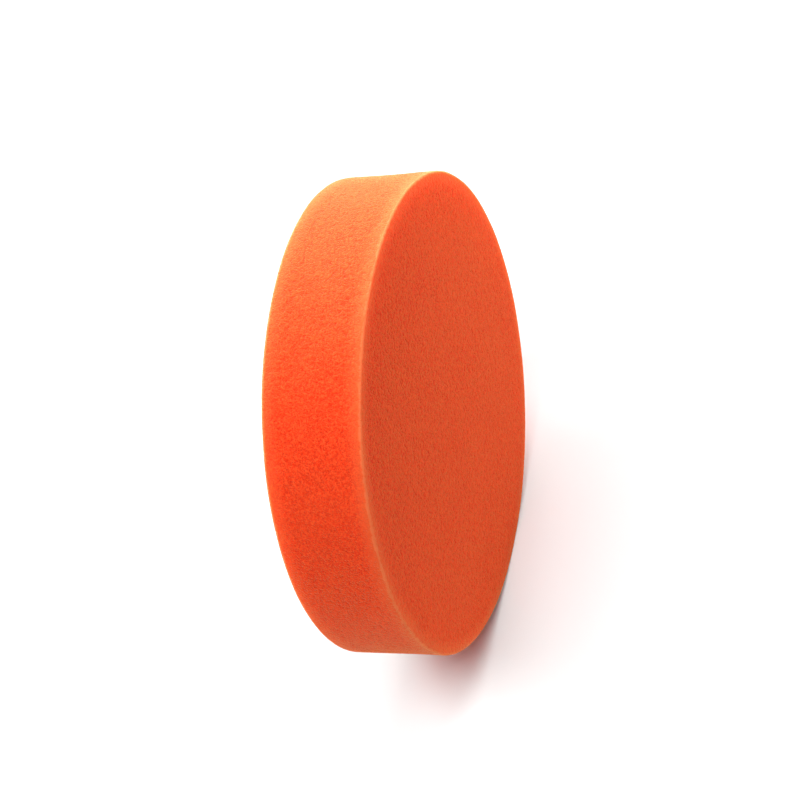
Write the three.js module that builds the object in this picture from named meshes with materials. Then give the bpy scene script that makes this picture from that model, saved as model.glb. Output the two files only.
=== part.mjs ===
// Flat foam polishing pad for a hook-and-loop backing plate, standing on its rim.
// Millimetres, +Z up. The pad's axis lies along Y. The origin is the centre of the
// loop face, and the foam's working face looks along -Y.

import * as THREE from "three";

// Driving dimensions
const padDiameter = 125; // across opposite flats of the faceted rim
const foamThickness = 25;
const rimRounding = 0.5; // radius of the two cut edges of the foam
const wallDip = 0.15; // how far the side wall dips at half its width
const loopDiameter = 113; // film, ground cloth and pile are punched as one circle
const pileHeight = 1.2;
const clothThickness = 0.5;
const filmThickness = 0.2;
const rimFacets = 48; // a multiple of 4, so the pad stands on one flat facet, 8 mm wide
const edgeSteps = 3; // chords in each rounded edge
const wallSteps = 6; // chords across the dipped side wall

// Layers stack along Y, from the loop face at the origin towards the working face.
const pileBase = -pileHeight;
const clothBase = pileBase - clothThickness;
const foamBack = clothBase - filmThickness;
const foamFront = foamBack - foamThickness;

// Revolves a profile of [radius, y] pairs about Y, running from -Y to +Y. Corners lie a
// little outside the stated radius, so that the flats between them touch it.
function revolve(profile) {
  const cornerScale = 1 / Math.cos(Math.PI / rimFacets);
  const points = profile.map(([radius, y]) => new THREE.Vector2(radius * cornerScale, y));
  return new THREE.LatheGeometry(points, rimFacets, Math.PI / rimFacets);
}

// One rounded edge of the foam, from startAngle through a quarter turn.
function roundedEdge(centreRadius, centreY, startAngle) {
  const edge = [];
  for (let step = 0; step <= edgeSteps; step += 1) {
    const angle = startAngle + (step / edgeSteps) * (Math.PI / 2);
    edge.push([
      centreRadius + rimRounding * Math.cos(angle),
      centreY + rimRounding * Math.sin(angle),
    ]);
  }
  return edge;
}

// The side wall between the rounded edges: a shallow parabola, deepest half-way.
function dippedWall(radius, fromY, toY) {
  const wall = [];
  for (let step = 1; step < wallSteps; step += 1) {
    const along = step / wallSteps;
    const dip = wallDip * 4 * along * (1 - along);
    wall.push([radius - dip, fromY + along * (toY - fromY)]);
  }
  return wall;
}

function foamDiscGeometry() {
  const radius = padDiameter / 2;
  const edgeCentre = radius - rimRounding;
  const frontEdgeY = foamFront + rimRounding;
  const backEdgeY = foamBack - rimRounding;
  return revolve([
    [0, foamFront],
    ...roundedEdge(edgeCentre, frontEdgeY, -Math.PI / 2),
    ...dippedWall(radius, frontEdgeY, backEdgeY),
    ...roundedEdge(edgeCentre, backEdgeY, 0),
    [0, foamBack],
  ]);
}

function layerGeometry(fromY, toY) {
  const radius = loopDiameter / 2;
  return revolve([
    [0, fromY],
    [radius, fromY],
    [radius, toY],
    [0, toY],
  ]);
}

function namedMesh(name, geometry, color, roughness) {
  const material = new THREE.MeshStandardMaterial({ color, roughness, metalness: 0 });
  const mesh = new THREE.Mesh(geometry, material);
  mesh.name = name;
  return mesh;
}

const pad = new THREE.Group();
pad.add(
  namedMesh("foam_disc", foamDiscGeometry(), 0xee5a28, 0.95),
  namedMesh("adhesive_film", layerGeometry(clothBase - filmThickness, clothBase), 0xe8dcc2, 0.4),
  namedMesh("loop_ground_cloth", layerGeometry(clothBase, pileBase), 0xdedad2, 0.9),
  namedMesh("loop_pile", layerGeometry(pileBase, 0), 0xece9e2, 0.85),
);

export default pad;
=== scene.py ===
import math
import random

import bmesh
import bpy
from mathutils import Matrix, Quaternion, Vector, noise


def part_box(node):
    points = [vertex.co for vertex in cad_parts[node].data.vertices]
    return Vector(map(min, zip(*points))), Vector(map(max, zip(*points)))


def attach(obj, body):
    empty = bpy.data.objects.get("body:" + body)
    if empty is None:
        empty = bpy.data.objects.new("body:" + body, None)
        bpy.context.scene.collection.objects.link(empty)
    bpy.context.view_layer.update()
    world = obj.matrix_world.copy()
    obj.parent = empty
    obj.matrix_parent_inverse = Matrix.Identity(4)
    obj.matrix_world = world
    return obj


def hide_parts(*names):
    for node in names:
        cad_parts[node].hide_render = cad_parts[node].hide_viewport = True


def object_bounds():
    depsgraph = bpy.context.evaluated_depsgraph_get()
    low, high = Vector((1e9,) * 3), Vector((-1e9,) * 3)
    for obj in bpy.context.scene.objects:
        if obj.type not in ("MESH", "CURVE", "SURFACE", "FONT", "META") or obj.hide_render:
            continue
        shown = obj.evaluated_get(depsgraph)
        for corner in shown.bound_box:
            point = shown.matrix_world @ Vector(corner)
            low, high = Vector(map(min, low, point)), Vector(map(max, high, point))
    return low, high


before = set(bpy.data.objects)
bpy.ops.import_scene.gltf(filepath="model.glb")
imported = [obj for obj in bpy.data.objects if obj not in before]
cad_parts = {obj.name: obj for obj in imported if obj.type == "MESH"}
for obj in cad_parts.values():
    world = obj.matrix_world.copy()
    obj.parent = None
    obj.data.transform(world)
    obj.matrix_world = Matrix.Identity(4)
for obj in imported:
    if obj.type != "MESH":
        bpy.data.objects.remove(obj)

cadLow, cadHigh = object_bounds()
foamLow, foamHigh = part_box("foam_disc")
foamCentre = (foamLow + foamHigh) / 2
foamRadius = (foamHigh.x - foamLow.x) / 2
foamHalf = (foamHigh.y - foamLow.y) / 2       # half the foam's thickness
mm = 0.001


# camera and light

# unit vector towards something seen at this azimuth and elevation, in degrees
def fromDirection(azimuth, elevation):
    a, e = math.radians(azimuth), math.radians(elevation)
    return Vector((math.sin(a) * math.cos(e), -math.cos(a) * math.cos(e), math.sin(e)))


def placeCamera():
    shot = {
        "azimuth": -57.35,
        "elevation": 46.99,
        "roll": -26.28,
        "distance": 429 * mm,
        "aimRight": -2.517 * mm,  # where it points, along its own right and up
        "aimUp": 3.521 * mm,
        "lens": 73.47,
        "sensorWidth": 36,
    }
    back = fromDirection(shot["azimuth"], shot["elevation"])
    turn = (-back).to_track_quat("-Z", "Y") @ Quaternion((0, 0, 1), math.radians(shot["roll"]))
    aim = turn @ Vector((shot["aimRight"], shot["aimUp"], shot["distance"]))

    lens = bpy.data.cameras.new("camera")
    lens.lens, lens.sensor_width = shot["lens"], shot["sensorWidth"]
    lens.clip_start, lens.clip_end = 10 * mm, 20
    camera = bpy.data.objects.new("camera", lens)
    camera.rotation_mode = "QUATERNION"
    camera.rotation_quaternion = turn
    camera.location = foamCentre + aim
    bpy.context.scene.collection.objects.link(camera)
    bpy.context.scene.camera = camera


def hangLamp(name, towards, distance, size, watts):
    lamp = bpy.data.lights.new(name, "AREA")
    lamp.shape, lamp.size, lamp.energy = "DISK", size, watts
    holder = bpy.data.objects.new(name, lamp)
    holder.rotation_mode = "QUATERNION"
    holder.rotation_quaternion = towards.to_track_quat("Z", "Y")
    holder.location = foamCentre + towards * distance
    holder.visible_camera = False
    bpy.context.scene.collection.objects.link(holder)
    return holder


studio = {
    "distance": 1.2,
    "softboxSize": 0.7,
    "softboxes": {             # azimuth, elevation, watts
        "lowBackLeft": (167.5, 20, 5.7),
        "backLeft": (167.5, 45, 4.6),
        "lowBackRight": (122.5, 20, 2.4),
        "backRight": (77.5, 45, 5.5),
        "frontRight": (32.5, 45, 2.0),
        "overheadLeft": (-117.5, 68, 8.7),
        "overheadFront": (-57.5, 68, 4.3),
        "overheadBack": (62.5, 68, 3.9),
    },
    "skyLight": 0.01,
    "rimLight": (118, 31, 36),     # azimuth, elevation, watts
    "faceLightTowards": (0.75, -0.5, 0.6),
    "faceLightDistance": 140 * mm,
    "faceLightSize": 80 * mm,
    "faceLightWatts": 0.038,
}


def hangLights():
    for name, (azimuth, elevation, watts) in studio["softboxes"].items():
        hangLamp(name, fromDirection(azimuth, elevation), studio["distance"], studio["softboxSize"],
                 watts)

    world = bpy.data.worlds.new("studio")
    world.use_nodes = True
    sky = world.node_tree.nodes["Background"]
    sky.inputs["Color"].default_value = (1, 1, 1, 1)
    seen = world.node_tree.nodes.new("ShaderNodeLightPath")
    brightness = world.node_tree.nodes.new("ShaderNodeMapRange")  # white behind, dim as a light
    brightness.inputs["To Min"].default_value = studio["skyLight"]
    world.node_tree.links.new(seen.outputs["Is Camera Ray"], brightness.inputs["Value"])
    world.node_tree.links.new(brightness.outputs["Result"], sky.inputs["Strength"])
    bpy.context.scene.world = world
    bpy.context.scene.view_settings.view_transform = "Standard"


# two lamps that reach the foam only, flagged off the floor and the backing
def hangFoamLamps(foamPiece):
    lit = bpy.data.collections.new("foamLit")
    lit.objects.link(foamPiece)
    azimuth, elevation, watts = studio["rimLight"]
    rimLight = hangLamp("rimLight", fromDirection(azimuth, elevation), studio["distance"],
                        studio["softboxSize"], watts)
    faceLight = hangLamp("faceLight", Vector(studio["faceLightTowards"]).normalized(),
                         studio["faceLightDistance"], studio["faceLightSize"],
                         studio["faceLightWatts"])
    rimLight.light_linking.receiver_collection = lit
    faceLight.light_linking.receiver_collection = lit


placeCamera()
hangLights()
print("camera and lights placed")


# making pieces

def newPiece(name, builder):
    mesh = bpy.data.meshes.new(name)
    builder.to_mesh(mesh)
    builder.free()
    piece = bpy.data.objects.new(name, mesh)
    bpy.context.scene.collection.objects.link(piece)
    return piece


def applyModifiers(piece):
    graph = bpy.context.evaluated_depsgraph_get()
    finished = bpy.data.meshes.new_from_object(piece.evaluated_get(graph), depsgraph=graph)
    rough = piece.data
    piece.modifiers.clear()
    piece.data = finished
    bpy.data.meshes.remove(rough)
    finished.name = piece.name


def wear(piece, finish, node):
    piece.data.materials.clear()
    piece.data.materials.append(finish)
    piece.data.polygons.foreach_set("use_smooth", [True] * len(piece.data.polygons))
    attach(piece, "root")
    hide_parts(node)


# shader nodes

def newFinish(name, **values):
    finish = bpy.data.materials.new(name)
    finish.use_nodes = True
    shader = finish.node_tree.nodes["Principled BSDF"]
    for socket, value in values.items():
        shader.inputs[socket.replace("_", " ")].default_value = value
    return finish, finish.node_tree, shader


def join(tree, socket, value):
    if isinstance(value, bpy.types.NodeSocket):
        tree.links.new(value, socket)
    else:
        socket.default_value = value


def texture(tree, kind, scale, output="Fac", **settings):
    node = tree.nodes.new(kind)
    for name, value in settings.items():
        if name in node.inputs:
            node.inputs[name].default_value = value
        else:
            setattr(node, name, value)
    node.inputs["Scale"].default_value = scale
    place = tree.nodes.new("ShaderNodeTexCoord")
    tree.links.new(place.outputs["Object"], node.inputs["Vector"])
    return node.outputs[output]


def calculate(tree, operation, *values, clamp=False):
    node = tree.nodes.new("ShaderNodeMath")
    node.operation, node.use_clamp = operation, clamp
    for socket, value in zip(node.inputs, values):
        join(tree, socket, value)
    return node.outputs[0]


def spread(tree, value, low, high, toLow=0.0, toHigh=1.0):
    node = tree.nodes.new("ShaderNodeMapRange")
    node.interpolation_type = "SMOOTHSTEP"
    for socket, number in zip(node.inputs, (value, low, high, toLow, toHigh)):
        join(tree, socket, number)
    return node.outputs[0]


def blend(tree, amount, first, second):
    node = tree.nodes.new("ShaderNodeMix")
    node.data_type = "RGBA"
    for index, value in ((0, amount), (6, first), (7, second)):
        join(tree, node.inputs[index], value)
    return node.outputs[2]


def bump(tree, height, distance, strength=1.0):
    node = tree.nodes.new("ShaderNodeBump")
    node.inputs["Strength"].default_value = strength
    node.inputs["Distance"].default_value = distance
    tree.links.new(height, node.inputs["Height"])
    return node.outputs["Normal"]


# foam disc

foam = {
    "surfaceStep": 0.4 * mm,   # spacing of the finished surface
    "rimRounding": 0.6 * mm,
    "wallDip": 0.12 * mm,      # the knife leaves the side wall slightly hollow
    "cutWander": 0.15 * mm,    # how far the cut strays round the rim
    "wanderLength": 14 * mm,
    "faceWave": 0.08 * mm,
    "poreSize": 1.05 * mm,
    "poreRadius": 0.44 * mm,
    "poreDepth": 0.10 * mm,
    "grain": 0.03 * mm,
    "grainLength": 0.7 * mm,
    "waveLength": 20 * mm,
    "wallShare": 8,            # how fast the wall's movements fade towards the middle
    "cells": 2000,             # pattern scales, per metre
    "fineNoise": 3000,
    "grainNoise": 1800,
    "cloudNoise": 60,
    "raggedNoise": 700,
    "raggedEdge": 0.2 * mm,
    # painted glow along the rims: how far in it reaches and how strongly
    "edgeGlowWidth": (0.2 * mm, 4.8 * mm),
    "edgeGlowShare": 0.6,
    # painted highlight along the rims: its width and strength
    "rimHighlightWidth": (0.3 * mm, 0.75 * mm),
    "rimHighlightShare": 0.7,
    "bumpHeight": 0.3 * mm,
    "scatter": 7 * mm,
    "scatterShare": 0.62,
    "faceFuzz": (0.35, 0.2, (1, 0.55, 0.15, 1)),     # sheen: weight, roughness, tint
    "wallFuzz": (0.46, 0.33, (1, 0.65, 0.32, 1)),
    # deep: the colour of painted shade in the pits
    "deep": (0.62, 0.016, 0.003, 1),
    "body": (0.90, 0.038, 0.006, 1),
    "tips": (1.0, 0.099, 0.021, 1),
    # painted glow: a lighter orange near the rims, for light shining through the thin foam edge
    "edge": (1.0, 0.14, 0.038, 1),
    # painted highlight: a thin pale line along the rims, for the light the cut corner catches
    "rimHighlight": (1.0, 0.20, 0.07, 1),
}


def cutFoamBlank():
    blank = bmesh.new()
    bmesh.ops.create_cone(blank, cap_ends=True, segments=720,
                          radius1=foamRadius, radius2=foamRadius, depth=foamHigh.y - foamLow.y)
    bmesh.ops.rotate(blank, verts=blank.verts, matrix=Matrix.Rotation(math.pi / 2, 3, "X"))
    bmesh.ops.translate(blank, verts=blank.verts, vec=foamCentre)
    piece = newPiece("foamDisc", blank)
    skin = piece.modifiers.new("surface", "REMESH")
    skin.mode = "VOXEL"
    skin.voxel_size = foam["surfaceStep"]
    applyModifiers(piece)
    return piece


# nearest point of the true disc, its rims rounded
def trueSurface(point):
    radius = math.hypot(point.x, point.z)
    depth = point.y - foamCentre.y
    side = math.copysign(1, depth)
    cornerRadius = foamRadius - foam["rimRounding"]
    cornerDepth = foamHalf - foam["rimRounding"]
    overRadius, overDepth = radius - cornerRadius, abs(depth) - cornerDepth
    if overRadius > 0 and overDepth > 0:
        reach = math.hypot(overRadius, overDepth)
        newRadius = cornerRadius + overRadius / reach * foam["rimRounding"]
        newDepth = cornerDepth + overDepth / reach * foam["rimRounding"]
    elif foamRadius - radius < foamHalf - abs(depth):
        newRadius, newDepth = foamRadius, abs(depth)
    else:
        newRadius, newDepth = radius, foamHalf
    grow = newRadius / radius if radius > 0 else 1
    return Vector((point.x * grow, foamCentre.y + side * newDepth, point.z * grow))


# how deep the cut bubble under this point of the surface is
def poreDrop(point, inward):
    centre = noise.voronoi(point / foam["poreSize"])[1][0] * foam["poreSize"]
    toCentre = centre - point
    inside = foam["poreRadius"] ** 2 - toCentre.length_squared
    if inside <= 0:
        return 0
    along = toCentre.dot(inward)
    return min(along + math.sqrt(inside + along ** 2), foam["poreDepth"])


# the rims are cut cleaner than the faces: 0 at a rim, 1 from a millimetre in
def rimShelter(point):
    fromWall = foamRadius - math.hypot(point.x, point.z)
    fromFace = foamHalf - abs(point.y - foamCentre.y)
    return min(1, max(fromWall, fromFace, 0) / mm)


def cutFoam(piece):
    thickness = foamHigh.y - foamLow.y
    mesh = piece.data
    for vertex in mesh.vertices:
        point = trueSurface(vertex.co)
        across = (point.y - foamLow.y) / thickness
        outward = Vector((point.x, 0, point.z))
        share = (outward.length / foamRadius) ** foam["wallShare"]
        stray = noise.noise(point / foam["wanderLength"]) * foam["cutWander"]
        dip = foam["wallDip"] * 4 * across * (1 - across)
        side = 2 * across - 1
        spot = Vector((point.x, side * 30 * mm, point.z))    # each face reads its own noise
        wave = noise.noise(spot / foam["waveLength"]) * foam["faceWave"]
        vertex.co = point + outward.normalized() * share * (stray - dip) + Vector((0, side * wave, 0))
    mesh.update()
    normals = [vertex.normal.copy() for vertex in mesh.vertices]
    # pit depth, turned into painted shade by the foam finish
    shade = mesh.attributes.new("pore", "FLOAT", "POINT")
    for vertex, normal, value in zip(mesh.vertices, normals, shade.data):
        drop = poreDrop(vertex.co, -normal)
        value.value = drop / foam["poreDepth"]
        grain = noise.noise(vertex.co / foam["grainLength"]) * foam["grain"]
        vertex.co -= normal * (drop - grain) * rimShelter(vertex.co)
        vertex.co.z = max(vertex.co.z, foamLow.z)
    mesh.update()


def onWall(face):
    middle = face.center - foamCentre
    fromFace = foamHalf - abs(middle.y)
    return foamRadius - math.hypot(middle.x, middle.z) < fromFace


# the two round faces side by side, and the side wall in two strips above them
def unwrapFoam(piece):
    mesh = piece.data
    unit = 1 / (4.2 * foamRadius)
    layout = mesh.uv_layers.new(name="OFBake")
    for face in mesh.polygons:
        wall = onWall(face)
        front = face.center.y < foamCentre.y
        half = face.center.x < foamCentre.x
        for corner in face.loop_indices:
            point = mesh.vertices[mesh.loops[corner].vertex_index].co - foamCentre
            if wall:
                angle = math.atan2(point.z, -point.x if half else point.x)
                across = (angle + math.pi / 2) * foamRadius + 0.05 * foamRadius
                up = point.y + (2.4 if half else 2.9) * foamRadius
            else:
                across = point.x * (1 if front else -1) + (1.05 if front else 3.15) * foamRadius
                up = point.z + 1.05 * foamRadius
            layout.data[corner].uv = (across * unit, up * unit)


# distance from the nearer cut rim, measured square to it, a little ragged; it places the painted rim
# glow and the painted rim highlight
def rimDistance(tree):
    place = tree.nodes.new("ShaderNodeTexCoord")
    split = tree.nodes.new("ShaderNodeSeparateXYZ")
    tree.links.new(place.outputs["Object"], split.inputs["Vector"])
    x, y, z = split.outputs
    radius = calculate(tree, "SQRT", calculate(tree, "ADD", calculate(tree, "MULTIPLY", x, x),
                                               calculate(tree, "MULTIPLY", z, z)))
    fromWall = calculate(tree, "SUBTRACT", foamRadius, radius)
    fromMiddle = calculate(tree, "ABSOLUTE", calculate(tree, "SUBTRACT", y, foamCentre.y))
    fromFace = calculate(tree, "SUBTRACT", foamHalf, fromMiddle)
    distance = calculate(tree, "SQRT", calculate(tree, "ADD",
                                                 calculate(tree, "MULTIPLY", fromWall, fromWall),
                                                 calculate(tree, "MULTIPLY", fromFace, fromFace)))
    ragged = texture(tree, "ShaderNodeTexNoise", foam["raggedNoise"], Detail=2, Roughness=0.6)
    return calculate(tree, "ADD", distance,
                     spread(tree, ragged, 0.3, 0.7, -foam["raggedEdge"], foam["raggedEdge"]))


def foamFinish(name, fuzz, fuzzSpread, fuzzTint):
    finish, tree, shader = newFinish(name, Roughness=0.95, Sheen_Weight=fuzz,
                                     Sheen_Roughness=fuzzSpread, Sheen_Tint=fuzzTint,
                                     Subsurface_Weight=foam["scatterShare"],
                                     Subsurface_Scale=foam["scatter"],
                                     Subsurface_Radius=(1, 0.7, 0.55))
    shader.inputs["Specular IOR Level"].default_value = 0.1
    shade = tree.nodes.new("ShaderNodeAttribute")
    shade.attribute_name = "pore"
    cells = texture(tree, "ShaderNodeTexVoronoi", foam["cells"], "Distance", feature="F1", Randomness=1)
    fine = texture(tree, "ShaderNodeTexNoise", foam["fineNoise"], Detail=2, Roughness=0.6)
    grain = texture(tree, "ShaderNodeTexNoise", foam["grainNoise"], Detail=2, Roughness=0.7)
    cloud = texture(tree, "ShaderNodeTexNoise", foam["cloudNoise"], Detail=2, Roughness=0.5)
    pits = spread(tree, cells, 0.15, 0.55, 1, 0)
    lift = calculate(tree, "ADD", calculate(tree, "MULTIPLY", fine, 0.4),
                     calculate(tree, "MULTIPLY", grain, 0.6))
    colour = blend(tree, spread(tree, lift, 0.36, 0.62), foam["body"], foam["tips"])
    # painted shade: darker, deeper red in the pits of the cell pattern and of the cut pores
    colour = blend(tree, calculate(tree, "MULTIPLY", pits, 0.5), colour, foam["deep"])
    colour = blend(tree, calculate(tree, "MULTIPLY", shade.outputs["Fac"], 0.2), colour, foam["deep"])
    colour = blend(tree, spread(tree, cloud, 0.35, 0.65, 0.0, 0.1), colour, foam["tips"])
    rim = rimDistance(tree)
    # painted glow: lighter orange up to a few millimetres in from the rims, for light shining through
    # the thin edge
    colour = blend(tree, spread(tree, rim, *foam["edgeGlowWidth"], foam["edgeGlowShare"], 0), colour,
                   foam["edge"])
    # painted highlight: a thin pale line right at the rims, for the light the cut corner catches
    colour = blend(tree, spread(tree, rim, *foam["rimHighlightWidth"], foam["rimHighlightShare"], 0), colour,
                   foam["rimHighlight"])
    join(tree, shader.inputs["Base Color"], colour)
    height = calculate(tree, "SUBTRACT", lift, calculate(tree, "MULTIPLY", pits, 0.7))
    join(tree, shader.inputs["Normal"], bump(tree, height, foam["bumpHeight"], 0.7))
    join(tree, shader.inputs["Roughness"], spread(tree, lift, 0.3, 0.7, 0.85, 1.0))
    return finish


foamDisc = cutFoamBlank()
cutFoam(foamDisc)
unwrapFoam(foamDisc)
wear(foamDisc, foamFinish("skivedFoam", *foam["faceFuzz"]), "foam_disc")
foamDisc.data.materials.append(foamFinish("dieCutFoam", *foam["wallFuzz"]))
for face in foamDisc.data.polygons:
    face.material_index = 1 if onWall(face) else 0

hangFoamLamps(foamDisc)
print("foam disc cut:", len(foamDisc.data.polygons), "faces")


# adhesive film

filmLow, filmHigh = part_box("adhesive_film")
film = {
    "rings": 6,
    "ringWidth": 1.2 * mm,
    "ooze": 0.16 * mm,     # how unevenly it was pressed out round the edge
    "oozeLength": 5 * mm,
    "patches": 350,        # pattern scales, per metre
    "grain": 2500,
    "milk": (0.80, 0.74, 0.60, 1),
    "clear": (0.60, 0.50, 0.34, 1),
}


def pressFilm():
    radius = (filmHigh.x - filmLow.x) / 2
    sheet = bmesh.new()
    bmesh.ops.create_circle(sheet, cap_ends=True, segments=300, radius=radius)
    bmesh.ops.rotate(sheet, verts=sheet.verts, matrix=Matrix.Rotation(-math.pi / 2, 3, "X"))
    for ring in range(film["rings"]):
        middle = max(sheet.faces, key=lambda face: len(face.verts))
        bmesh.ops.inset_region(sheet, faces=[middle], thickness=film["ringWidth"])
    bmesh.ops.translate(sheet, verts=sheet.verts, vec=(0, filmLow.y, 0))
    bmesh.ops.solidify(sheet, geom=sheet.faces[:], thickness=filmHigh.y - filmLow.y)
    for vertex in sheet.verts:
        point = vertex.co
        if math.hypot(point.x, point.z) > radius - 0.5 * film["ringWidth"]:
            push = noise.noise(Vector((point.x, 0, point.z)) / film["oozeLength"]) * film["ooze"]
            point.x *= 1 + push / radius
            point.z *= 1 + push / radius
    bmesh.ops.recalc_face_normals(sheet, faces=sheet.faces[:])
    return newPiece("adhesiveFilm", sheet)


def filmFinish():
    finish, tree, shader = newFinish("milkyAdhesive", Roughness=0.4, Coat_Weight=0.2)
    patches = texture(tree, "ShaderNodeTexNoise", film["patches"], Detail=3, Roughness=0.6)
    grain = texture(tree, "ShaderNodeTexNoise", film["grain"], Detail=2, Roughness=0.5)
    join(tree, shader.inputs["Base Color"],
         blend(tree, spread(tree, patches, 0.35, 0.65), film["milk"], film["clear"]))
    join(tree, shader.inputs["Roughness"], spread(tree, grain, 0.3, 0.7, 0.25, 0.55))
    join(tree, shader.inputs["Normal"], bump(tree, grain, 0.05 * mm))
    return finish


adhesiveFilm = pressFilm()
wear(adhesiveFilm, filmFinish(), "adhesive_film")
print("adhesive film pressed")


# ground cloth of the hook-and-loop backing

clothLow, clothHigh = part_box("loop_ground_cloth")
cloth = {
    "step": 0.5 * mm,
    "wale": 1.0 * mm,        # the knit's ribs, in step with the loop rows
    "course": 0.7 * mm,
    "ribHeight": 0.04 * mm,
    "edgeFray": 0.14 * mm,
    "frayLength": 0.8 * mm,
    "fibreNoise": 3500,      # per metre
    "yarn": (0.82, 0.80, 0.76, 1),
    "gap": (0.50, 0.47, 0.43, 1),
}


def knitCloth():
    radius = (clothHigh.x - clothLow.x) / 2
    steps = round(2 * radius / cloth["step"])
    sheet = bmesh.new()
    bmesh.ops.create_grid(sheet, x_segments=steps, y_segments=steps, size=radius)
    bmesh.ops.rotate(sheet, verts=sheet.verts, matrix=Matrix.Rotation(-math.pi / 2, 3, "X"))
    outside = [v for v in sheet.verts if v.co.length > radius - 0.15 * cloth["step"]]
    bmesh.ops.delete(sheet, geom=outside, context="VERTS")
    for vertex in sheet.verts:
        if vertex.is_boundary:
            fray = noise.noise(vertex.co / cloth["frayLength"]) * cloth["edgeFray"]
            vertex.co *= (radius - cloth["edgeFray"] + fray) / vertex.co.length
    bmesh.ops.smooth_vert(sheet, verts=[v for v in sheet.verts if not v.is_boundary], factor=0.5,
                          use_axis_x=True, use_axis_z=True)
    for vertex in sheet.verts:
        rib = math.cos(2 * math.pi * vertex.co.x / cloth["wale"])
        vertex.co.y = clothHigh.y - cloth["ribHeight"] * (1 - rib) / 2
    bmesh.ops.solidify(sheet, geom=sheet.faces[:], thickness=clothHigh.y - clothLow.y)
    bmesh.ops.recalc_face_normals(sheet, faces=sheet.faces[:])
    return newPiece("loopGroundCloth", sheet)


def wave(tree, spacing, direction):
    node = tree.nodes.new("ShaderNodeTexWave")
    node.bands_direction = direction
    node.inputs["Scale"].default_value = math.pi / (10 * spacing)
    node.inputs["Distortion"].default_value = 0.6
    node.inputs["Detail"].default_value = 1
    place = tree.nodes.new("ShaderNodeTexCoord")
    tree.links.new(place.outputs["Object"], node.inputs["Vector"])
    return node.outputs["Fac"]


def clothFinish():
    finish, tree, shader = newFinish("knitGround", Roughness=0.9, Sheen_Weight=0.2,
                                     Sheen_Roughness=0.5)
    knit = calculate(tree, "MULTIPLY", wave(tree, cloth["wale"], "X"), wave(tree, cloth["course"], "Z"))
    fibre = texture(tree, "ShaderNodeTexNoise", cloth["fibreNoise"], Detail=3, Roughness=0.65)
    height = calculate(tree, "ADD", knit, calculate(tree, "MULTIPLY", fibre, 0.4))
    join(tree, shader.inputs["Base Color"],
         blend(tree, spread(tree, height, 0.2, 0.8), cloth["gap"], cloth["yarn"]))
    join(tree, shader.inputs["Roughness"], spread(tree, fibre, 0.3, 0.7, 0.8, 1.0))
    join(tree, shader.inputs["Normal"], bump(tree, height, 0.15 * mm))
    return finish


loopGroundCloth = knitCloth()
wear(loopGroundCloth, clothFinish(), "loop_ground_cloth")
print("ground cloth knitted:", len(loopGroundCloth.data.polygons), "faces")


# loop pile

pileLow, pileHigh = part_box("loop_pile")
pile = {
    "rowGap": 1.0 * mm,
    "loopGap": 1.12 * mm,
    "rows": {                # first row, radius of the yarn, radius of a loop, lean, seed
        "evenLoopRows": (0, 0.10 * mm, 0.45 * mm, 34, 11),
        "oddLoopRows": (1, 0.10 * mm, 0.45 * mm, 34, 12),
        "brushedFibres": (0.5, 0.045 * mm, 0.80 * mm, 50, 13),
        "strayFibres": (1.5, 0.045 * mm, 0.90 * mm, 56, 14),
    },
    "turn": 230,             # degrees of a circle that stand above the cloth
    "steps": 7,
    "root": 0.2 * mm,        # how far the feet reach into the cloth
    "height": (0.8, 1.15),
    "width": (0.8, 1.25),
    "depth": (0.9, 1.5),
    "stray": 0.42 * mm,
    "border": 0.6 * mm,      # kept clear of loops round the rim
    "strandNoise": 1400,     # pattern scales, per metre
    "patchNoise": 90,
    "tint": (0.90, 0.885, 0.85, 1),
    "shadow": (0.72, 0.70, 0.66, 1),
}


def bendLoop(yarn, loop):
    seed = bmesh.new()
    bmesh.ops.create_circle(seed, cap_ends=True, segments=3, radius=yarn)
    bmesh.ops.translate(seed, verts=seed.verts, vec=(loop, 0, 0))
    half = math.radians((pile["turn"] - 180) / 2)
    bmesh.ops.rotate(seed, verts=seed.verts, matrix=Matrix.Rotation(math.pi / 2, 3, "X"))
    bmesh.ops.rotate(seed, verts=seed.verts, matrix=Matrix.Rotation(-half, 3, "Z"))
    bmesh.ops.spin(seed, geom=seed.verts[:] + seed.edges[:] + seed.faces[:], axis=(0, 0, 1),
                   cent=(0, 0, 0), angle=math.radians(pile["turn"]), steps=pile["steps"])
    bmesh.ops.recalc_face_normals(seed, faces=seed.faces[:])
    foot = min(vertex.co.y for vertex in seed.verts)
    bmesh.ops.translate(seed, verts=seed.verts, vec=(0, -foot, 0))
    return seed


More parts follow.
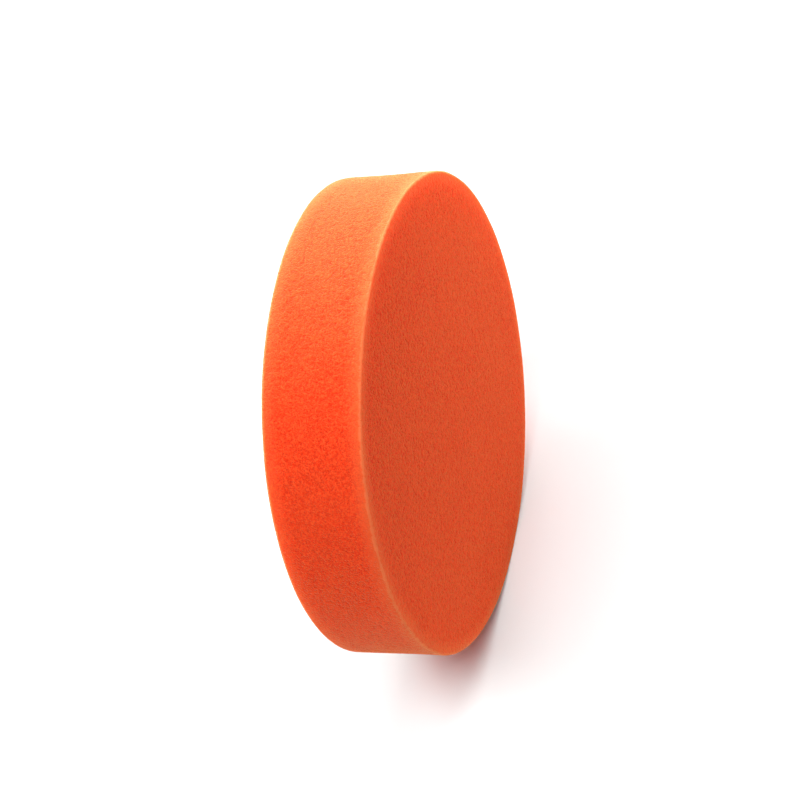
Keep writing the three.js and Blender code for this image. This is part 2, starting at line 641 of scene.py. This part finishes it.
def sewRows(name, firstRow, yarn, loop, lean, seedNumber):
    radius = (pileHigh.x - pileLow.x) / 2
    across = math.ceil(2 * radius / pile["loopGap"]) + 1
    rows = math.ceil(radius / pile["rowGap"]) + 1
    piece = newPiece(name, bendLoop(yarn, loop))
    cornersPerLoop = len(piece.data.vertices)
    for label, count, gap in (("along", across, (0, 0, pile["loopGap"])),
                              ("rows", rows, (2 * pile["rowGap"], 0, 0))):
        repeat = piece.modifiers.new(label, "ARRAY")
        repeat.use_relative_offset = False
        repeat.use_constant_offset = True
        repeat.constant_offset_displace = gap
        repeat.count = count
    applyModifiers(piece)

    draw = random.Random(seedNumber)
    sewn = bmesh.new()
    sewn.from_mesh(piece.data)
    sewn.verts.ensure_lookup_table()
    room = pileHigh.y - pileLow.y + pile["root"]
    outside = []
    for index in range(across * rows):
        row, place = divmod(index, across)
        corners = sewn.verts[index * cornersPerLoop:(index + 1) * cornersPerLoop]
        home = Vector((row * 2 * pile["rowGap"], 0, place * pile["loopGap"]))
        spot = home + Vector((firstRow * pile["rowGap"] - radius, 0, -radius))
        spot += Vector((draw.uniform(-1, 1), 0, draw.uniform(-1, 1))) * pile["stray"]
        tilt = Matrix.Rotation(math.radians(draw.gauss(0, lean)), 4, "X")
        spin = Matrix.Rotation(draw.uniform(0, 2 * math.pi), 4, "Y")
        size = Matrix.Diagonal((draw.uniform(*pile["width"]), draw.uniform(*pile["height"]),
                                draw.uniform(*pile["depth"]), 1))
        if spot.length > radius - pile["border"]:
            outside += corners
            continue
        for corner in corners:
            moved = spin @ tilt @ size @ (corner.co - home)
            moved.y = min(max(moved.y, 0), room)
            corner.co = spot + moved + Vector((0, pileLow.y - pile["root"], 0))
    bmesh.ops.delete(sewn, geom=outside, context="VERTS")
    sewn.to_mesh(piece.data)
    sewn.free()
    return piece


def pileFinish():
    finish, tree, shader = newFinish("brushedLoops", Roughness=0.75, Sheen_Weight=0.35,
                                     Sheen_Roughness=0.4)
    strand = texture(tree, "ShaderNodeTexNoise", pile["strandNoise"], Detail=2, Roughness=0.6)
    patch = texture(tree, "ShaderNodeTexNoise", pile["patchNoise"], Detail=2, Roughness=0.5)
    mixed = calculate(tree, "ADD", calculate(tree, "MULTIPLY", strand, 0.6),
                      calculate(tree, "MULTIPLY", patch, 0.4))
    join(tree, shader.inputs["Base Color"],
         blend(tree, spread(tree, mixed, 0.35, 0.62), pile["shadow"], pile["tint"]))
    join(tree, shader.inputs["Roughness"], spread(tree, strand, 0.3, 0.7, 0.6, 0.9))
    join(tree, shader.inputs["Normal"], bump(tree, strand, 0.05 * mm))
    return finish


loopFinish = pileFinish()
for name, sewing in pile["rows"].items():
    rowsPiece = sewRows(name, *sewing)
    wear(rowsPiece, loopFinish, "loop_pile")
    print(name, "sewn:", len(rowsPiece.data.polygons), "faces")


# floor

board = {
    "radius": 0.45,
    "colour": (0.80, 0.85, 0.85, 1),
}


def layFloor():
    flat = bmesh.new()
    bmesh.ops.create_circle(flat, cap_ends=True, segments=96, radius=board["radius"])
    bmesh.ops.translate(flat, verts=flat.verts, vec=(0, 0, cadLow.z))
    floor = newPiece("floor", flat)
    floor.data.materials.append(newFinish("paleBoard", Roughness=0.9, Base_Color=board["colour"])[0])


layFloor()
